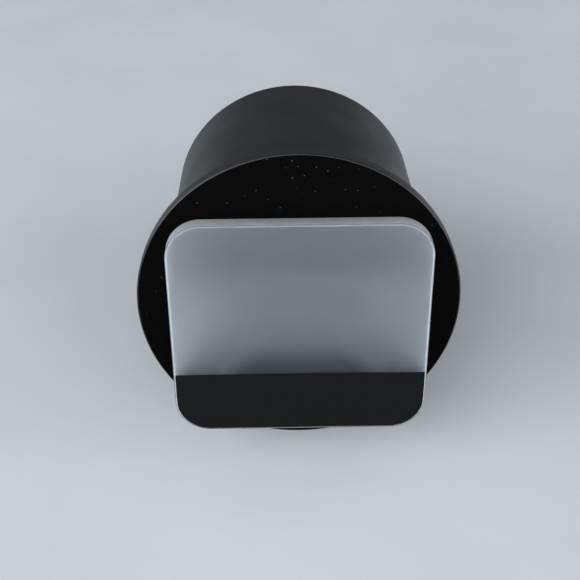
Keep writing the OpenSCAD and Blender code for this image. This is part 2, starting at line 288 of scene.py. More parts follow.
# %% [markdown]
# ## Opal acrylic
# The plate is cast acrylic with a thin white filler, sawn and polished. Light goes a long way through it
# before it meets a grain of filler, and then bends aside only a little, so most of it comes out at the
# back. Over the black of the slot the plate therefore looks grey, and near its edges, where light gets in
# behind it, it glows. The grains turn blue light back sooner than red, which gives the cool tint. In the
# real sheet light also runs along between the two faces, and what runs into the black foot is lost. The
# renderer's scattering can't carry light that far, so that shade is painted: the colour is drawn darker
# in a soft patch over the foot, which narrows upwards. The edges were sawn and only lightly polished, so
# they are duller and whiter than the faces. A narrow rim round the corner is painted darker and scatters
# no light, as painted shade that dims the glow along the edge. How far a point lies from the middle of
# its rounded corner tells how near it is to that rim.

# %% Opal acrylic
OPAL_WHITES = ("#c3ced8", "#b9c5d0")
OPAL_CLOUD_W = 9
# Painted shade: the dark colour below is drawn over the black foot, where the real sheet loses light.
OPAL_PAINTED_FOOT_SHADE = "#1f2e3f"
CAST_ACRYLIC = {
    "IOR": 1.49,
    "Subsurface Scale": 210 * MM,  # light goes on for about a twelfth of this before it meets a grain
    "Subsurface Anisotropy": 0.8,  # 0 sends light all ways, 1 straight on
    "Subsurface Radius": (1.15, 1.0, 0.86),
}
# How high, how wide and how slanted the painted shade over the foot is.
PAINTED_SHADE_H = 20  # mm above the band where the patch has faded out
PAINTED_SHADE_X = (12, 31)  # mm from the middle where it starts to fade, and where it has gone
PAINTED_SHADE_SLANT = 0.8  # how much narrower it gets at each side with each mm of height

opal, shader = new_finish("opal_cast_acrylic", Roughness=0.12, **CAST_ACRYLIC)
place = add(opal, "ShaderNodeTexCoord").outputs["Object"]
parts = add(opal, "ShaderNodeSeparateXYZ", {0: place}).outputs
aside = add(opal, "ShaderNodeMath", {0: parts["X"]}, operation="ABSOLUTE")
above = add(opal, "ShaderNodeMath", {0: parts["Z"], 1: band_high.z * MM}, operation="SUBTRACT")
slanted = add(opal, "ShaderNodeMath", {0: above, 1: PAINTED_SHADE_SLANT, 2: aside}, operation="MULTIPLY_ADD")
in_middle = add(opal, "ShaderNodeMapRange", {
    "Value": slanted, "From Min": PAINTED_SHADE_X[0] * MM, "From Max": PAINTED_SHADE_X[1] * MM,
    "To Min": 1, "To Max": 0,
}, interpolation_type="SMOOTHSTEP")
near_foot = add(opal, "ShaderNodeMapRange", {
    "Value": above, "From Max": PAINTED_SHADE_H * MM, "To Min": 1, "To Max": 0,
}, interpolation_type="SMOOTHERSTEP")
# Painted shade over the foot: strongest low in the middle, narrowing upwards, blended into the filler's
# colour.
painted_foot_shade = add(opal, "ShaderNodeMath", {0: in_middle, 1: near_foot}, operation="MULTIPLY")
clouded = blend_colours(opal, add_grain(opal, OPAL_CLOUD_W), *OPAL_WHITES)
filler_and_painted_shade = blend_colours(opal, painted_foot_shade, clouded, OPAL_PAINTED_FOOT_SHADE)
print("made", opal.name)

# %% Painted rim shade and dust of the opal acrylic
PLATE_CORNER_R = 8
# Painted shade: a narrow dark rim along the rounded edge dims the glow there.
OPAL_PAINTED_RIM_SHADE = "#45494d"
OPAL_PAINTED_RIM_W = 0.6

plate_middle = (plate_low + plate_high) / 2
corner_middle = plate_high - plate_middle - Vector((PLATE_CORNER_R, 0, PLATE_CORNER_R))
reach = place
for step, amount in (
    ("SUBTRACT", plate_middle), ("ABSOLUTE", plate_middle), ("SUBTRACT", corner_middle),
    ("MAXIMUM", Vector()),
):
    reach = add(opal, "ShaderNodeVectorMath", {0: reach, 1: amount * MM}, operation=step)
from_corner = add(opal, "ShaderNodeVectorMath", {0: reach}, operation="LENGTH").outputs["Value"]
rim = add(opal, "ShaderNodeMapRange", {
    "Value": from_corner, "From Min": (PLATE_CORNER_R - OPAL_PAINTED_RIM_W) * MM, "From Max": PLATE_CORNER_R * MM,
}, interpolation_type="SMOOTHSTEP")
dust = add_specks(opal, cell=2.2, radius=0.15, share=0.35, strength=0.4)
# Where there is dust or the painted rim, light doesn't scatter in the sheet.
dust_or_painted_rim = add(opal, "ShaderNodeMath", {0: dust, 1: rim}, operation="MAXIMUM")
clear_of_dust_and_painted_rim = add(opal, "ShaderNodeMath", {0: 1.0, 1: dust_or_painted_rim}, operation="SUBTRACT")
# Painted shade: the colour darkens to the rim colour near the edge.
filler_and_painted_shade = blend_colours(opal, rim, filler_and_painted_shade, OPAL_PAINTED_RIM_SHADE)
tone = blend_colours(opal, dust, filler_and_painted_shade, DUST_GREY)
fill(opal, shader, {"Base Color": tone, "Subsurface Weight": clear_of_dust_and_painted_rim})

# %% Sawn edge of the opal acrylic
SAWN_WHITES = ("#b7b9b8", "#a5a7a6")

sawn = grained_finish(
    "opal_acrylic_sawn_edge", size=0.5, detail=2.0, tones=SAWN_WHITES, bump=0.15, depth=0.03,
    Roughness=0.35, Subsurface_Weight=0.6, **CAST_ACRYLIC,
)

# %% [markdown]
# ## Printed band
# The band at the plate's foot is black ink, screen printed in one thick layer. It has the slight orange
# peel of dried ink and a low sheen. It stays bare.

# %% Screen-printed black ink
INK_BLACKS = ("#060708", "#0a0b0c")

ink = grained_finish(
    "screen_printed_black_ink", size=0.6, detail=2.0, tones=INK_BLACKS, bump=0.15, depth=0.03,
    Roughness=0.45, Specular_IOR_Level=0.08,
)

# %% [markdown]
# ## Moulded black plastic
# The slide rest is ABS, moulded in a tool whose walls were spark eroded. That leaves a fine even texture,
# so it looks a soft dark grey beside the anodised metal.

# %% Moulded ABS
ABS_BLACKS = ("#141415", "#1b1b1d")

moulded = grained_finish(
    "moulded_black_abs", size=0.5, detail=4.0, tones=ABS_BLACKS, bump=0.3, depth=0.05,
    Roughness=0.55, IOR=1.53,
)

# %% [markdown]
# ## Rolled spring steel and blackened steel
# The clips are cut from rolled strip. Rolling leaves long fine lines along the strip, here along Z, which
# blur reflections across them. The screws are blackened in hot oil, which gives a darker, uneven sheen.

# %% Spring steel
ROLL_LINE = 0.25  # mm between lines, coarser than the real ones
ROLL_STRETCH = (1, 0.2, 0.04)  # long along Z
STEEL_GREYS = ("#a7a9ab", "#bdbfc1")

spring_steel, shader = new_finish("rolled_spring_steel", Metallic=1.0)
place = add(spring_steel, "ShaderNodeTexCoord").outputs["Object"]
along = add(spring_steel, "ShaderNodeMapping", {"Vector": place, "Scale": ROLL_STRETCH})
lines = add(spring_steel, "ShaderNodeTexNoise", {
    "Vector": along, "Scale": per_mm(ROLL_LINE), "Detail": 2.0,
}).outputs["Fac"]
polish = add(spring_steel, "ShaderNodeMapRange", {"Value": lines, "To Min": 0.28, "To Max": 0.42})
drawn = add(spring_steel, "ShaderNodeBump", {"Height": lines, "Strength": 0.15, "Distance": 0.02 * MM})
tone = blend_colours(spring_steel, lines, *STEEL_GREYS)
fill(spring_steel, shader, {"Base Color": tone, "Roughness": polish, "Normal": drawn})
print("made", spring_steel.name)

# %% Blackened screw steel
OIL_BLACKS = ("#2a2a2c", "#3c3b3b")
OIL_PATCH = 0.8  # mm

screw_steel, shader = new_finish("blackened_screw_steel", Metallic=1.0)
patches = add_grain(screw_steel, OIL_PATCH)
polish = add(screw_steel, "ShaderNodeMapRange", {"Value": patches, "To Min": 0.3, "To Max": 0.5})
tone = blend_colours(screw_steel, patches, *OIL_BLACKS)
fill(screw_steel, shader, {"Base Color": tone, "Roughness": polish})
print("made", screw_steel.name)

# %% [markdown]
# ## Felt and acetal
# The felt is pressed wool that drags a little on the inner tube. Its loose fibres catch light at a low
# angle, which sheen gives. The split bearing ring is turned from acetal, a waxy plastic that needs no
# oil.

# %% Pressed wool felt
FELT_BLACKS = ("#0b0b0b", "#1d1d1e")

felt = grained_finish(
    "pressed_black_wool_felt", size=0.3, detail=5.0, tones=FELT_BLACKS, bump=0.7, depth=0.15,
    Roughness=0.95, Sheen_Weight=0.4, Sheen_Roughness=0.5,
)

# %% Turned acetal
ACETAL_BLACKS = ("#262523", "#302e2b")

acetal, shader = new_finish("turned_black_acetal", Roughness=0.4, IOR=1.48)
rings = add_tool_marks(acetal)
ring_bump = add(acetal, "ShaderNodeBump", {"Height": rings, "Strength": 0.3, "Distance": MARK_DEPTH})
tone = blend_colours(acetal, rings, *ACETAL_BLACKS)
fill(acetal, shader, {"Base Color": tone, "Normal": ring_bump})
print("made", acetal.name)

# %% [markdown]
# ## Helpers for modelling by hand
# An operator works on whatever is selected, so a piece starts with everything deselected, and faces and
# edges are picked by where they are or which way they face. These few helpers do the picking, open and
# close edit mode, and round the edges at the end. No real edge is perfectly sharp, and the rounding is
# what catches light.

# %% Picking and editing helpers
KINDS = ("VERT", "EDGE", "FACE")


def only(piece):
    """Selects one object and nothing else."""
    bpy.ops.object.select_all(action="DESELECT")
    piece.select_set(True)
    bpy.context.view_layer.objects.active = piece


def edit(piece, kind, test):
    """Opens a piece in edit mode with the vertices, edges or faces that pass a test selected."""
    only(piece)
    groups = (piece.data.vertices, piece.data.edges, piece.data.polygons)
    for group in groups:
        group.foreach_set("select", [False] * len(group))
    chosen = groups[KINDS.index(kind)]
    for item in chosen:
        item.select = bool(test(item))
    count = sum(item.select for item in chosen)
    bpy.context.tool_settings.mesh_select_mode = [kind == each for each in KINDS]
    bpy.ops.object.mode_set(mode="EDIT")
    return count


def leave_edit():
    """Closes edit mode."""
    bpy.ops.object.mode_set(mode="OBJECT")


def turn_outwards():
    """Makes every face of the piece in edit mode point outwards, and closes edit mode."""
    bpy.ops.mesh.select_all(action="SELECT")
    bpy.ops.mesh.normals_make_consistent(inside=False)
    leave_edit()


def apply_place(piece):
    """Puts an object's place, turn and scale into its mesh, so that it sits at the origin."""
    only(piece)
    bpy.ops.object.transform_apply(location=True, rotation=True, scale=True)


def edge_ends(piece, edge):
    """The two end points of an edge, in millimetres."""
    return [piece.data.vertices[i].co / MM for i in edge.vertices]


# %% Finishing helpers
SHARP_ANGLE = 30  # degrees between two faces, from which their edge is rounded


def finish_modifier(piece, kind, **settings):
    """Adds a modifier and applies it."""
    only(piece)
    modifier = piece.modifiers.new(kind.lower(), kind)
    for name, value in settings.items():
        setattr(modifier, name, value)
    bpy.ops.object.modifier_apply(modifier=modifier.name)


def soften_edges(piece, width, segments=2):
    """Rounds the sharp edges by a width in millimetres."""
    finish_modifier(
        piece, "BEVEL", width=width * MM, segments=segments, limit_method="ANGLE",
        angle_limit=math.radians(SHARP_ANGLE),
    )


def smooth(piece, angle=40):
    """Shades a piece smooth, and keeps its big flat faces flat."""
    only(piece)
    bpy.ops.object.shade_smooth_by_angle(angle=math.radians(angle))
    finish_modifier(piece, "WEIGHTED_NORMAL", keep_sharp=True, weight=50)


def cut_away(piece, *cutters):
    """Cuts the shape of each cutter out of a piece, and deletes the cutter."""
    for cutter in cutters:
        finish_modifier(piece, "BOOLEAN", operation="DIFFERENCE", solver="EXACT", object=cutter)
        bpy.data.objects.remove(cutter)


def dress(piece, finish, slot, *nodes):
    """Gives a piece its finish, and hides the frame nodes that it replaces. The slot is not used."""
    piece.data.materials.clear()
    piece.data.materials.append(finish)
    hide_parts(*nodes)
    print(piece.name, "has", len(piece.data.polygons), "faces and replaces", *nodes)


# %% [markdown]
# ## Turning on a lathe
# Most of the duplicator is turned from aluminium tube and bar. Blender's lathe is the Spin tool: a
# profile is drawn beside the axis, vertex by vertex, and spun through a full turn. A profile point is a
# radius and a place along the axis. A profile that comes back to its first point makes a ring, and one
# that starts and ends on the axis makes a solid.

# %% Lathe and block helpers
TURN_STEPS = 192
WELD = 1e-3 * MM


def draw_line(name, points):
    """A piece that is only a line of vertices, drawn by extruding one vertex from point to point."""
    bpy.ops.object.select_all(action="DESELECT")
    bpy.ops.mesh.primitive_plane_add(size=MM, location=points[0])
    piece = bpy.context.object
    piece.name = name
    apply_place(piece)
    edit(piece, "VERT", lambda vertex: True)
    bpy.ops.mesh.merge(type="CENTER")
    for start, end in zip(points, points[1:]):
        bpy.ops.mesh.extrude_vertices_move(TRANSFORM_OT_translate={"value": end - start})
    bpy.ops.mesh.select_all(action="SELECT")
    bpy.ops.mesh.remove_doubles(threshold=WELD)
    leave_edit()
    return piece


def turned(name, profile, steps=TURN_STEPS):
    """Draws a profile of (radius, y) in millimetres, then spins it about the Y axis."""
    piece = draw_line(name, [Vector((radius, y, 0)) * MM for radius, y in profile])
    edit(piece, "VERT", lambda vertex: True)
    bpy.ops.mesh.spin(steps=steps, angle=2 * math.pi, center=(0, 0, 0), axis=(0, 1, 0))
    bpy.ops.mesh.select_all(action="SELECT")
    bpy.ops.mesh.remove_doubles(threshold=WELD)
    turn_outwards()
    return piece


def block(name, low, high):
    """A box from its lowest to its highest corner, in millimetres."""
    low, high = Vector(low), Vector(high)
    bpy.ops.object.select_all(action="DESELECT")
    bpy.ops.mesh.primitive_cube_add(size=1, location=(low + high) / 2 * MM, scale=(high - low) * MM)
    piece = bpy.context.object
    piece.name = name
    apply_place(piece)
    return piece


def round_corners(piece, radius, segments, test=lambda place: True):
    """Rounds the edges that run along Y, where their middle passes a test, by a radius in millimetres."""
    def picked(edge):
        a, b = edge_ends(piece, edge)
        return abs(a.y - b.y) > WELD / MM and (a - b).xz.length < WELD / MM and test((a + b) / 2)
    edit(piece, "EDGE", picked)
    bpy.ops.mesh.bevel(offset=radius * MM, segments=segments, affect="EDGES")
    leave_edit()


# %% [markdown]
# ## The front disc
# The disc is turned from aluminium bar: a flat face, a rim, and a spigot behind it that the barrel slides
# over. Then the 36 by 24 mm film window is milled out, with a wider step behind its thin lip, so that the
# lip's edge throws no stray light on the film. Next come the holes for the screws of the slide rest,
# countersunk from behind, and last the window's front edges are broken. Blocks and short turned pieces
# serve as the cutters.

# %% Turn the disc
SLIP_FIT = 0.02
SPIGOT_WALL = 2
TURNED_ROUNDING = 0.06
spigot_r = sleeve_high.z
barrel_bore_r = spigot_r + SLIP_FIT

front_disc = turned("disc_turned", [
    (0, disc_front), (disc_r - EDGE_CHAMFER, disc_front), (disc_r, disc_front + EDGE_CHAMFER),
    (disc_r, disc_rear - EDGE_CHAMFER), (disc_r - EDGE_CHAMFER, disc_rear), (spigot_r, disc_rear),
    (spigot_r, disc_high.y), (spigot_r - SPIGOT_WALL, disc_high.y), (spigot_r - SPIGOT_WALL, disc_rear),
    (0, disc_rear),
])
soften_edges(front_disc, TURNED_ROUNDING)

# %% Mill the film window
WINDOW_W, WINDOW_H = 36, 24
WINDOW_LIP = 1.2
WINDOW_STEP = 2
CUT = 1  # how far a cutter runs past the face that it cuts

half_w, half_h = WINDOW_W / 2, WINDOW_H / 2
lip_cutter = block("lip_cutter", (-half_w, disc_front - CUT, -half_h), (half_w, disc_rear + CUT, half_h))
step_cutter = block(
    "step_cutter", (-half_w - WINDOW_STEP, disc_front + WINDOW_LIP, -half_h - WINDOW_STEP),
    (half_w + WINDOW_STEP, disc_rear + CUT, half_h + WINDOW_STEP),
)
cut_away(front_disc, lip_cutter, step_cutter)
print("window", WINDOW_W, "by", WINDOW_H, "mm")

# %% [markdown]
# ## Screws
# The small screws are alike, with a cross recess. One countersunk and one pan-head screw are turned and
# cut, and copies are set in each hole. Four countersunk ones lie on a circle just outside the barrel and
# hold the slide rest. Three pan heads hold the lens ring at the rear. A set screw is a short stud with a
# hexagon socket, and three of them lock the barrel on the disc's spigot.

# %% One screw of each kind
SCREW_R = 0.8
SCREW_HEAD_R = 1.3
PAN_HEAD_H = 0.8
PAN_DOME = ((0, 1), (0.55, 0.96), (0.85, 0.75), (1, 0.35))  # shares of the head's radius and height
REST_SCREW_L = 8
RING_SCREW_L = 4
RECESS_W = 0.35
RECESS_D = 0.5
SET_SCREW_R = 1
SET_SCREW_L = 2.58
SET_SCREW_CHAMFER = 0.15
SOCKET_R = 0.5
SOCKET_D = 1.3
SMALL_STEPS = 40  # round a screw or its hole
SCREW_ROUNDING = 0.03


def domed(radius, height, dome):
    """The points of a head's dome, from its middle out."""
    return [(radius * out, height * up) for out, up in dome]


def cut_cross(screw, face_y):
    """Cuts a cross recess into a screw head that faces +Y."""
    for half_x, half_z in ((SCREW_R, RECESS_W / 2), (RECESS_W / 2, SCREW_R)):
        arm = block("arm", (-half_x, face_y - RECESS_D, -half_z), (half_x, face_y + CUT, half_z))
        cut_away(screw, arm)


countersunk = turned("countersunk_screw", [
    (0, 0), (SCREW_HEAD_R, 0), (SCREW_R, SCREW_R - SCREW_HEAD_R), (SCREW_R, -REST_SCREW_L),
    (0, -REST_SCREW_L),
], steps=SMALL_STEPS)
cut_cross(countersunk, 0)
pan_head = turned("pan_head_screw", domed(SCREW_HEAD_R, PAN_HEAD_H, PAN_DOME) + [
    (SCREW_HEAD_R, 0), (SCREW_R, 0), (SCREW_R, -RING_SCREW_L), (0, -RING_SCREW_L),
], steps=SMALL_STEPS)
cut_cross(pan_head, PAN_HEAD_H)
set_screw = turned("set_screw", [
    (0, 0), (SET_SCREW_R - SET_SCREW_CHAMFER, 0), (SET_SCREW_R, -SET_SCREW_CHAMFER),
    (SET_SCREW_R, -SET_SCREW_L), (0, -SET_SCREW_L),
], steps=SMALL_STEPS)
socket = turned("socket", [(0, CUT), (SOCKET_R, CUT), (SOCKET_R, -SOCKET_D), (0, -SOCKET_D)], steps=6)
cut_away(set_screw, socket)
for pattern in (countersunk, pan_head, set_screw):
    soften_edges(pattern, SCREW_ROUNDING)
    smooth(pattern)
print("made three screws to copy")


# %% Setting the copies and boring their holes
def bored(name, radius, depth):
    """A cutter for a round hole that goes down from a face that looks towards +Y."""
    return turned(name, [(0, CUT), (radius, CUT), (radius, -depth), (0, -depth)], steps=SMALL_STEPS)


def set_copies(pattern, name, places, twist=0):
    """One object made of copies of a pattern that faces +Y. The pattern is used up.

    A place is a point in millimetres and the way to face there. Each copy is twisted more than the last,
    by so many degrees.
    """
    copies = []
    for i, (point, way) in enumerate(places):
        twin = pattern.copy()
        twin.data = pattern.data.copy()
        bpy.context.scene.collection.objects.link(twin)
        turn = Vector((0, 1, 0)).rotation_difference(Vector(way)).to_matrix().to_4x4()
        own = Matrix.Rotation(math.radians(twist * i), 4, "Y")
        twin.data.transform(Matrix.Translation(Vector(point) * MM) @ turn @ own)
        copies.append(twin)
    bpy.data.objects.remove(pattern)
    only(copies[0])
    for twin in copies:
        twin.select_set(True)
    bpy.ops.object.join()
    joined = bpy.context.object
    joined.name = name
    return joined


# %% Screws of the slide rest, and their holes in the disc
SCREW_EDGE = 0.7  # mm from the barrel to the heads beside it
POST_W = 3.55
BAR_H = 2.7
HOLE_GAP = 0.1
REST_HOLE_TOP = 0.5
REST_HOLE_D = 5
REARWARD = (0, 1, 0)

post_x = rest_high.x - POST_W / 2
bar_z = rest_low.z + BAR_H / 2
screw_circle_r = barrel_r + SCREW_EDGE + SCREW_HEAD_R
post_z = -math.sqrt(screw_circle_r ** 2 - post_x ** 2)
bar_x = math.sqrt(screw_circle_r ** 2 - bar_z ** 2)
rest_screw_places = [
    ((side * x, disc_rear, z), REARWARD)
    for side in (-1, 1) for x, z in ((post_x, post_z), (bar_x, bar_z))
]
hole = turned("screw_hole", [
    (0, REST_HOLE_TOP), (SCREW_HEAD_R + HOLE_GAP, REST_HOLE_TOP), (SCREW_HEAD_R + HOLE_GAP, 0),
    (SCREW_R + HOLE_GAP, SCREW_R - SCREW_HEAD_R), (SCREW_R + HOLE_GAP, -REST_HOLE_D), (0, -REST_HOLE_D),
], steps=SMALL_STEPS)
cut_away(front_disc, set_copies(hole, "screw_holes", rest_screw_places))
rest_screws = set_copies(countersunk, "rest_screws_set", rest_screw_places, twist=37)
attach(rest_screws, "slide_head")
dress(rest_screws, screw_steel, "black_steel", "slide_rest_screws")


# %% Break the window's edges and finish the disc
TOUCH = 0.01  # mm within which two places count as one
WINDOW_BREAK = 0.15


def on_window_rim(edge):
    """True for the sharp edges where the window meets the disc's face."""
    a, b = edge_ends(front_disc, edge)
    flat = abs(a.y - disc_front) < TOUCH and abs(b.y - disc_front) < TOUCH
    on_side = abs(abs(a.x) - half_w) < TOUCH and abs(a.x - b.x) < TOUCH
    on_top = abs(abs(a.z) - half_h) < TOUCH and abs(a.z - b.z) < TOUCH
    inside = max(abs(a.x), abs(b.x)) < half_w + TOUCH and max(abs(a.z), abs(b.z)) < half_h + TOUCH
    return flat and inside and (on_side or on_top)


print("window rim edges:", edit(front_disc, "EDGE", on_window_rim))
bpy.ops.mesh.bevel(offset=WINDOW_BREAK * MM, segments=2, affect="EDGES")
leave_edit()
smooth(front_disc)
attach(front_disc, "slide_head")
dress(front_disc, anodised, "black_anodised", "front_disc")
front_disc.data.materials.append(blasted)
for face in front_disc.data.polygons:
    if face.normal.y < -0.99 and face.center.y < (disc_front + TOUCH) * MM:
        face.material_index = 1

# %% [markdown]
# ## The barrel
# The barrel is a length of tube with a small chamfer at its rear end. Near the disc it has three tapped
# holes, one of them underneath, for the set screws that lock it on the spigot.

# %% Barrel
SET_SCREW_ANGLES = (90, 210, 330)
SET_SCREW_BACK = 2  # mm from the disc
SET_HOLE_D = 2.2
set_screw_y = disc_rear + SET_SCREW_BACK

barrel = turned("barrel_turned", [
    (barrel_bore_r, disc_rear), (barrel_r, disc_rear), (barrel_r, barrel_rear - EDGE_CHAMFER),
    (barrel_r - EDGE_CHAMFER, barrel_rear), (barrel_bore_r, barrel_rear), (barrel_bore_r, disc_rear),
])
soften_edges(barrel, TURNED_ROUNDING)
set_screw_places = []
for angle in SET_SCREW_ANGLES:
    outward = Vector((math.cos(math.radians(angle)), 0, -math.sin(math.radians(angle))))
    set_screw_places.append((outward * (barrel_r - SLIP_FIT) + Vector((0, set_screw_y, 0)), outward))
hole = bored("set_screw_hole", SET_SCREW_R + SLIP_FIT, SET_HOLE_D)
cut_away(barrel, set_copies(hole, "set_screw_holes", set_screw_places))
smooth(barrel)
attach(barrel, "slide_head")
dress(barrel, anodised, "black_anodised", "outer_barrel")
set_screws = set_copies(set_screw, "set_screws_set", set_screw_places, twist=20)
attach(set_screws, "slide_head")
dress(set_screws, screw_steel, "black_steel", "barrel_set_screws")

# %% [markdown]
# ## The end sleeve
# The sleeve is screwed into the barrel's rear end and holds the felt between two small lips. Two slots
# across its rear face take the spanner that turns it in.

# %% End sleeve
SLEEVE_LIP = 1.2
SPANNER_SLOT_W = 2.5
SPANNER_SLOT_D = 0.9
SLEEVE_GAP = 0.3
THIN_ROUNDING = 0.05
felt_seat_r = box_mm("felt_lining")[1].z + SLIP_FIT
sleeve_bore_r = tube_r + SLEEVE_GAP
lip_front = sleeve_low.y + SLEEVE_LIP
lip_rear = sleeve_high.y - SLEEVE_LIP

sleeve = turned("sleeve_turned", [
    (sleeve_bore_r, sleeve_low.y), (spigot_r, sleeve_low.y), (spigot_r, sleeve_high.y),
    (sleeve_bore_r, sleeve_high.y), (sleeve_bore_r, lip_rear), (felt_seat_r, lip_rear),
    (felt_seat_r, lip_front), (sleeve_bore_r, lip_front), (sleeve_bore_r, sleeve_low.y),
])
slot_cutter = block(
    "slot_cutter", (-barrel_r, sleeve_high.y - SPANNER_SLOT_D, -SPANNER_SLOT_W / 2),
    (barrel_r, sleeve_high.y + CUT, SPANNER_SLOT_W / 2),
)
cut_away(sleeve, slot_cutter)
soften_edges(sleeve, THIN_ROUNDING)
smooth(sleeve)
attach(sleeve, "slide_head")
dress(sleeve, anodised, "black_anodised", "end_sleeve")

# %% [markdown]
# ## The inner tube
# The tube screws to the lens and stays still while the head slides and turns on it. Its bore has fine
# V-shaped ridges, like the inside of a lens, that trap stray light. A groove near its front end holds the
# bearing ring, and a wall at its rear end takes the lens ring's screws.

# %% Inner tube
TUBE_WALL = 1.5
REAR_WALL = 2
GROOVE_DEPTH = 0.6
RUNNING_GAP = 0.05
RIDGE_PITCH = 1.5
RIDGE_DEPTH = 0.35
LIGHT_BORE_R = 22
COLLAR_BORE_R = 24.8  # of the lens ring, which the screws go through
RING_SCREW_ANGLES = (30, 150, 270)
tube_bore_r = tube_r - TUBE_WALL
groove_r = tube_r - GROOVE_DEPTH
ridge_start = tube_high.y - REAR_WALL - RIDGE_PITCH
ridge_room = ridge_start - (bearing_high.y + RUNNING_GAP + RIDGE_PITCH)
ridge_count = math.floor(ridge_room / RIDGE_PITCH)

tube_profile = [
    (tube_bore_r, tube_low.y), (tube_r, tube_low.y), (tube_r, bearing_low.y - RUNNING_GAP),
    (groove_r, bearing_low.y - RUNNING_GAP), (groove_r, bearing_high.y + RUNNING_GAP),
    (tube_r, bearing_high.y + RUNNING_GAP), (tube_r, tube_high.y), (LIGHT_BORE_R, tube_high.y),
    (LIGHT_BORE_R, tube_high.y - REAR_WALL), (tube_bore_r, tube_high.y - REAR_WALL),
]
for i in range(ridge_count):
    tube_profile.append((tube_bore_r, ridge_start - i * RIDGE_PITCH))
    tube_profile.append((tube_bore_r + RIDGE_DEPTH, ridge_start - (i + 0.5) * RIDGE_PITCH))
tube_profile.append((tube_bore_r, ridge_start - ridge_count * RIDGE_PITCH))
tube_profile.append(tube_profile[0])
tube = turned("tube_turned", tube_profile)

ring_screw_r = (LIGHT_BORE_R + COLLAR_BORE_R) / 2
ring_screw_places = []
for angle in RING_SCREW_ANGLES:
    turn = math.radians(angle)
    point = (ring_screw_r * math.cos(turn), 0, -ring_screw_r * math.sin(turn))
    ring_screw_places.append((point, REARWARD))
hole = bored("ring_screw_hole", SCREW_R + SLIP_FIT, RING_SCREW_L + SLIP_FIT)
cut_away(tube, set_copies(hole, "ring_screw_holes", ring_screw_places))
smooth(tube, angle=20)
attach(tube, "lens_tube")
dress(tube, anodised, "black_anodised", "inner_tube")
print("ridges in the bore:", ridge_count)

# %% [markdown]
# ## The lens ring
# The ring has a knurled grip for the fingers and, behind it, the thread that goes into the lens. The
# knurl is cut by drawing in every fourth row of vertices round the grip. The thread is a small triangle
# that the Screw modifier carries round the collar, 0.75 mm further on with each turn, as a lathe's lead
# screw does.

# %% Turn the ring
THREAD_R = 26
THREAD_DEPTH = 0.42
COLLAR_CHAMFER = 0.1
KNURL_STEPS = 288
grip_r = ring_high.x
thread_root_r = THREAD_R - THREAD_DEPTH

lens_ring = turned("ring_turned", [
    (LIGHT_BORE_R, ring_low.y), (grip_r - EDGE_CHAMFER, ring_low.y), (grip_r, ring_low.y + EDGE_CHAMFER),
    (grip_r, -EDGE_CHAMFER), (grip_r - EDGE_CHAMFER, 0), (thread_root_r, 0),
    (thread_root_r, ring_high.y - COLLAR_CHAMFER), (thread_root_r - COLLAR_CHAMFER, ring_high.y),
    (COLLAR_BORE_R, ring_high.y), (COLLAR_BORE_R, 0), (LIGHT_BORE_R, 0), (LIGHT_BORE_R, ring_low.y),
], steps=KNURL_STEPS)


# %% Knurl the grip
KNURL_EVERY = 4
KNURL_DEPTH = 0.5
GRIP_MARGIN = 0.05


def in_knurl(vertex):
    """True for every fourth row of vertices round the grip."""
    place = vertex.co / MM
    row = round(math.degrees(math.atan2(place.z, place.x)) / 360 * KNURL_STEPS)
    return place.xz.length > grip_r - EDGE_CHAMFER - GRIP_MARGIN and row % KNURL_EVERY == 0


rows = edit(lens_ring, "VERT", in_knurl)
shrink = 1 - KNURL_DEPTH / grip_r
bpy.ops.transform.resize(value=(shrink, 1, shrink), center_override=(0, 0, 0))
leave_edit()
print("vertices drawn in for the knurl:", rows)

# %% Cut the thread
THREAD_PITCH = 0.75
THREAD_TURNS = 5
THREAD_STEPS = 96
THREAD_BURY = 0.2  # how far the triangle's foot goes into the collar
THREAD_CREST, THREAD_FOOT = 0.49, 0.98  # the triangle's crest and far foot, as shares of the pitch
THREAD_START = -1.0  # inside the grip, so the thread leaves the shoulder at full depth
RUN_OUT_PASSES = 8
RUN_OUT_STEPS = 16  # steps of the last turn over which the crest sinks into the collar
RUN_OUT_SINK = 0.05  # how far below the collar's face it ends
CREST_MARGIN = 0.1

foot = Vector((thread_root_r - THREAD_BURY, THREAD_START, 0)) * MM
crest = foot + Vector((THREAD_DEPTH + THREAD_BURY, THREAD_PITCH * THREAD_CREST, 0)) * MM
far_foot = foot + Vector((0, THREAD_PITCH * THREAD_FOOT, 0)) * MM
thread = draw_line("thread", [foot, crest, far_foot, foot])
finish_modifier(
    thread, "SCREW", axis="Y", angle=2 * math.pi, screw_offset=THREAD_PITCH * MM, iterations=THREAD_TURNS,
    steps=THREAD_STEPS, render_steps=THREAD_STEPS, use_smooth_shade=False,
)
edit(thread, "EDGE", lambda edge: False)
bpy.ops.mesh.select_non_manifold()
bpy.ops.mesh.fill_holes(sides=4)
turn_outwards()
crest_end = THREAD_START + THREAD_PITCH * (THREAD_CREST + THREAD_TURNS)
step_rise = THREAD_PITCH / THREAD_STEPS
sink = (1 - (THREAD_DEPTH + RUN_OUT_SINK) / THREAD_R) ** (1 / RUN_OUT_PASSES)
crest_r = (thread_root_r - CREST_MARGIN) * MM
for i in range(RUN_OUT_PASSES):
    sinking_y = (crest_end - step_rise * (RUN_OUT_STEPS * (1 - i / RUN_OUT_PASSES) - 0.5)) * MM
    edit(thread, "VERT", lambda vertex: vertex.co.y > sinking_y and vertex.co.xz.length > crest_r)
    bpy.ops.transform.resize(value=(sink, 1, sink), center_override=(0, 0, 0))
    leave_edit()
reach = [vertex.co.y / MM for vertex in thread.data.vertices]
print(f"thread runs from {min(reach):.2f} to {max(reach):.2f} mm, the collar to {ring_high.y:.2f} mm")

# %% Holes and screws of the lens ring
RING_HOLE_D = 3

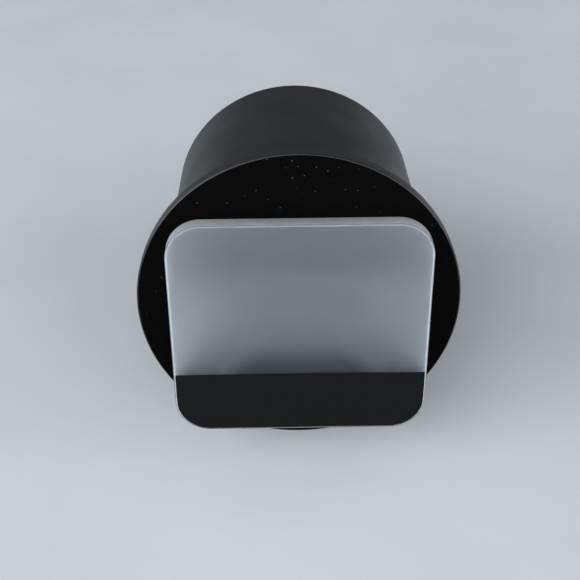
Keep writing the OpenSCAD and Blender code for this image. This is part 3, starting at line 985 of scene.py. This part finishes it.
hole = bored("ring_screw_hole", SCREW_R + HOLE_GAP, RING_HOLE_D)
cut_away(lens_ring, set_copies(hole, "ring_screw_holes", ring_screw_places))
smooth(lens_ring, angle=25)
smooth(thread, angle=25)
only(lens_ring)
thread.select_set(True)
bpy.ops.object.join()
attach(lens_ring, "lens_tube")
dress(lens_ring, anodised, "black_anodised", "lens_ring")
ring_screws = set_copies(pan_head, "ring_screws_set", ring_screw_places, twist=50)
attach(ring_screws, "lens_tube")
dress(ring_screws, screw_steel, "black_steel", "lens_ring_screws")

# %% [markdown]
# ## The slide rest
# The rest is one U-shaped moulding behind the foot of the plate. The slide stands on its bar between its
# two posts, and a shallow pocket in the front of each post takes the foot of a clip. A block gets its two
# lower corners rounded like the plate's, and then the slot, the pockets and the holes are cut out of it.

# %% Slide rest
CLIP_POCKET = 0.9
CLIP_T = 0.4
RIVET_R = 0.5
RIVET_GRIP = 1.6  # length of a rivet in the post
RIVET_DROPS = (2.5, 6.5)  # mm below the top of a post
FORWARD = (0, -1, 0)
LOW_CORNER = 1  # mm above a piece's foot, where its low corners are
MOULDED_ROUNDING = 0.12
slot_half_w = rest_high.x - POST_W
foot_low, foot_high = box_mm("clip_foot_right")
rivet_places = [
    ((side * post_x, foot_low.y, rest_high.z - drop), FORWARD) for side in (-1, 1) for drop in RIVET_DROPS
]

rest = block("rest_moulded", rest_low, rest_high)
round_corners(rest, PLATE_CORNER_R, 16, lambda place: place.z < rest_low.z + LOW_CORNER)
slot = block(
    "slot", (-slot_half_w, rest_low.y - CUT, rest_low.z + BAR_H),
    (slot_half_w, rest_high.y + CUT, rest_high.z + CUT),
)
cut_away(rest, slot)
for side in (-1, 1):
    inner, outer = sorted((side * foot_low.x, side * foot_high.x))
    pocket = block(
        "pocket", (inner - SLIP_FIT, rest_low.y - CUT, foot_low.z - SLIP_FIT),
        (outer + SLIP_FIT, rest_low.y + CLIP_POCKET, rest_high.z + CUT),
    )
    cut_away(rest, pocket)
screw_hole = bored("screw_hole", SCREW_R + SLIP_FIT, REST_SCREW_L + SLIP_FIT)
screw_holes = set_copies(screw_hole, "screw_holes", rest_screw_places)
rivet_hole = bored("rivet_hole", RIVET_R + SLIP_FIT, CLIP_T + RIVET_GRIP + SLIP_FIT)
rivet_holes = set_copies(rivet_hole, "rivet_holes", rivet_places)
soften_edges(rest, MOULDED_ROUNDING, segments=3)
cut_away(rest, screw_holes, rivet_holes)
smooth(rest)
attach(rest, "slide_head")
dress(rest, moulded, "black_plastic", "slide_rest")

# %% [markdown]
# ## The diffusing plate and its band
# The plate is a sheet with four round corners and lightly polished edges. The band covers its foot and
# leaves a thin margin of bare plate, which shows as a pale line round the black.

# %% Plate
PLATE_ROUNDING = 0.08
CORNER_STEPS = 24

plate = block("plate_polished", plate_low, plate_high)
round_corners(plate, PLATE_CORNER_R, CORNER_STEPS)
soften_edges(plate, PLATE_ROUNDING)
smooth(plate)
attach(plate, "slide_head")
dress(plate, opal, "opal_acrylic", "diffuser_plate")
plate.data.materials.append(sawn)
for face in plate.data.polygons:
    if abs(face.normal.y) < 0.1:
        face.material_index = 1

# %% Band
BAND_MARGIN = 0.4
BAND_ROUNDING = 0.04

band = block("band_printed", band_low, band_high)
round_corners(
    band, PLATE_CORNER_R - BAND_MARGIN, CORNER_STEPS, lambda place: place.z < band_low.z + LOW_CORNER
)
soften_edges(band, BAND_ROUNDING)
smooth(band)
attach(band, "slide_head")
dress(band, ink, "band_film", "front_band")

# %% [markdown]
# ## The slide clips
# Each clip is one bent strip of spring steel. Its flat foot is riveted to the rest, and its leaf leans
# back over the slot to press the slide flat on the disc. The bend that touches the slide is round, and
# the tip leans away as a lead-in. The strip's line is drawn and pulled out to the strip's width, and
# Solidify gives it its thickness. The frame has a foot and a leaf on two bodies, and one piece blends
# from the one to the other.

# %% The line of a clip, as places along Y and Z
CLIP_BEND_R = 1.5
CLIP_CONTACT_Z = 8
CLIP_TIP_ANGLE = math.radians(28)
CLIP_TIP_L = 6
BEND_STEPS = 12
LEAF_GAP = 0.1  # between the frame's foot and leaf
LEAF_SHARES = (0.02, 0.35, 0.7)  # places along the leaf's straight part

leaf_rear = box_mm("clip_leaf_right")[1].y
foot_y = (foot_low.y + foot_high.y) / 2
leaf_root = Vector((foot_y, foot_high.z + LEAF_GAP))
bend_middle = Vector((leaf_rear - CLIP_T / 2 - CLIP_BEND_R, CLIP_CONTACT_Z))
root_to_bend = bend_middle - leaf_root
lean = math.atan2(root_to_bend.x, root_to_bend.y) + math.asin(CLIP_BEND_R / root_to_bend.length)


def on_bend(angle):
    """A place on the round bend, by its angle above straight rearwards."""
    return bend_middle + CLIP_BEND_R * Vector((math.cos(angle), math.sin(angle)))


clip_line = [
    Vector((foot_y, foot_low.z)), Vector((foot_y, foot_high.z - 1)), leaf_root - Vector((0, LEAF_GAP)),
    leaf_root,
]
for share in LEAF_SHARES:
    clip_line.append(leaf_root.lerp(on_bend(-lean), share))
for i in range(BEND_STEPS + 1):
    clip_line.append(on_bend(i * (lean + CLIP_TIP_ANGLE) / BEND_STEPS - lean))
tip_way = Vector((-math.sin(CLIP_TIP_ANGLE), math.cos(CLIP_TIP_ANGLE)))
clip_line.append(clip_line[-1] + CLIP_TIP_L * tip_way)
print(f"clip leans {math.degrees(lean):.1f} degrees and ends at z = {clip_line[-1].y:.2f} mm")

# %% Make both clips
clip_w = foot_high.x - foot_low.x
for side, hand in ((-1, "left"), (1, "right")):
    start_x = min(side * foot_low.x, side * foot_high.x)
    clip = draw_line(f"clip_bent_{hand}", [Vector((start_x, y, z)) * MM for y, z in clip_line])
    edit(clip, "EDGE", lambda edge: True)
    bpy.ops.mesh.extrude_edges_move(TRANSFORM_OT_translate={"value": (clip_w * MM, 0, 0)})
    leave_edit()
    finish_modifier(clip, "SOLIDIFY", thickness=CLIP_T * MM, offset=0, use_even_offset=True)
    edit(clip, "FACE", lambda face: True)
    turn_outwards()
    soften_edges(clip, THIN_ROUNDING)
    hole = bored("rivet_hole", RIVET_R + SLIP_FIT, CLIP_T + CUT)
    own_places = [(point, way) for point, way in rivet_places if point[0] * side > 0]
    cut_away(clip, set_copies(hole, "rivet_holes", own_places))
    smooth(clip)
    dress(clip, spring_steel, "spring_steel", f"clip_foot_{hand}", f"clip_leaf_{hand}")
    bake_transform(clip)

# %% [markdown]
# ## Rivets
# A rivet's head is domed by the hammer that closes it. One is turned, and four copies are set.

# %% Rivets
RIVET_HEAD_R = 1
RIVET_HEAD_H = 0.4
RIVET_DOME = ((0, 1), (0.45, 0.92), (0.8, 0.6), (1, 0.1))

rivet = turned("rivet", domed(RIVET_HEAD_R, RIVET_HEAD_H, RIVET_DOME) + [
    (RIVET_HEAD_R, 0), (RIVET_R, 0), (RIVET_R, -CLIP_T - RIVET_GRIP), (0, -CLIP_T - RIVET_GRIP),
], steps=32)
smooth(rivet)
rivets = set_copies(rivet, "rivets_set", rivet_places)
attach(rivets, "slide_head")
dress(rivets, spring_steel, "spring_steel", "clip_rivets")

# %% [markdown]
# ## Pieces kept from the frame
# The felt and the bearing ring stay inside the barrel in every pose, and their shapes are plain rings.
# They are kept as they are and get their finish.

# %% Finish the kept pieces
for node, finish in (("felt_lining", felt), ("bearing_ring", acetal)):
    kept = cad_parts[node]
    kept.data.materials.clear()
    kept.data.materials.append(finish)
    print("kept", node)

# %% [markdown]
# ## The table
# The duplicator lies on a pale grey table. It rests on the lower edge of the disc and the lower rim of
# the barrel, so seen from the duplicator the table slopes: it rises towards the lens by the angle whose
# tangent is the step from rim to rim over their distance. The paint has faint cloudy stains and a few
# dark specks.

# %% Table
TABLE_GREYS = ("#c9cdd2", "#c2c7cc")
TABLE_SPECK = "#8f9499"
TABLE_STAIN_W = 60
TABLE_W = 2400

disc_edge = Vector((0, disc_rear - EDGE_CHAMFER, -disc_r))
barrel_edge = Vector((0, barrel_rear - EDGE_CHAMFER, -barrel_r))
slope = math.atan2(barrel_edge.z - disc_edge.z, barrel_edge.y - disc_edge.y)
bpy.ops.object.select_all(action="DESELECT")
bpy.ops.mesh.primitive_plane_add(size=TABLE_W * MM, location=disc_edge * MM, rotation=(slope, 0, 0))
table = bpy.context.object
table.name = "table"
apply_place(table)
table_finish, shader = new_finish("pale_table_paint", Roughness=0.55, Specular_IOR_Level=0.3)
stains = add_grain(table_finish, TABLE_STAIN_W, detail=4.0)
spread = add(table_finish, "ShaderNodeMapRange", {"Value": stains, "From Min": 0.35, "From Max": 0.65})
stained = blend_colours(table_finish, spread, *TABLE_GREYS)
specks = add_specks(table_finish, cell=14, radius=0.35, share=0.3, strength=0.8)
fill(table_finish, shader, {"Base Color": blend_colours(table_finish, specks, stained, TABLE_SPECK)})
table.data.materials.append(table_finish)
print("table slopes by", round(math.degrees(slope), 2), "degrees")

# %% [markdown]
# ## Light
# The room is bright low in front and to both sides, as with a row of windows, and dim overhead and
# behind. That lights the open floor and the plate, shades the floor at both sides of the disc, and leaves
# the barrel's top dark between its bright sides. One window is nearer, to the left. Together they light
# the table at about the level where a colour comes out as written. A world's Generated place is the
# direction in which it is seen.

# %% World light
ROOM_TINT = "#eef1f4"
ROOM_DIM = 0.24  # brightness behind
ROOM_FRONT = 4.3  # how much brighter it is low in front
ROOM_FRONT_HIGH = 0.1  # and overhead in front
ROOM_LOW, ROOM_HIGH = 0.25, 0.62  # heights between which it dims, for a direction of length 1
ROOM_BLUR = 0.05  # half the width of the soft step from front to rear

world = bpy.data.worlds.new("pale_room")
bpy.context.scene.world = world
world.use_nodes = True
heading = add(world, "ShaderNodeTexCoord").outputs["Generated"]
ways = add(world, "ShaderNodeSeparateXYZ", {0: heading}).outputs
in_front = add(world, "ShaderNodeMapRange", {
    "Value": ways["Y"], "From Min": -ROOM_BLUR, "From Max": ROOM_BLUR, "To Min": 1, "To Max": 0,
}, interpolation_type="SMOOTHSTEP")
by_height = add(world, "ShaderNodeMapRange", {
    "Value": ways["Z"], "From Min": ROOM_LOW, "From Max": ROOM_HIGH,
    "To Min": ROOM_FRONT, "To Max": ROOM_FRONT_HIGH,
}, interpolation_type="SMOOTHSTEP")
level = add(world, "ShaderNodeMath", {0: in_front, 1: by_height, 2: ROOM_DIM}, operation="MULTIPLY_ADD")
background = world.node_tree.nodes["Background"]
fill(world, background, {"Color": linear(ROOM_TINT), "Strength": level})
print("lit by a room", ROOM_FRONT, "bright in front and", ROOM_DIM, "behind")

# %% Window light
WINDOW_PLACE = Vector((-700, -750, 560)) * MM
WINDOW_AIM = Vector((0, -40, -20)) * MM
WINDOW_W_M, WINDOW_H_M = 1.2, 0.7
WINDOW_POWER = 8.0

bpy.ops.object.light_add(type="AREA", location=WINDOW_PLACE)
window_light = bpy.context.object
window_light.name = "window_light"
window_light.data.shape = "RECTANGLE"
window_light.data.size = WINDOW_W_M
window_light.data.size_y = WINDOW_H_M
window_light.data.energy = WINDOW_POWER
window_light.rotation_euler = (WINDOW_AIM - WINDOW_PLACE).to_track_quat("-Z", "Y").to_euler()

bpy.context.scene.view_settings.view_transform = "Standard"
print("and by a window of", WINDOW_POWER, "W")
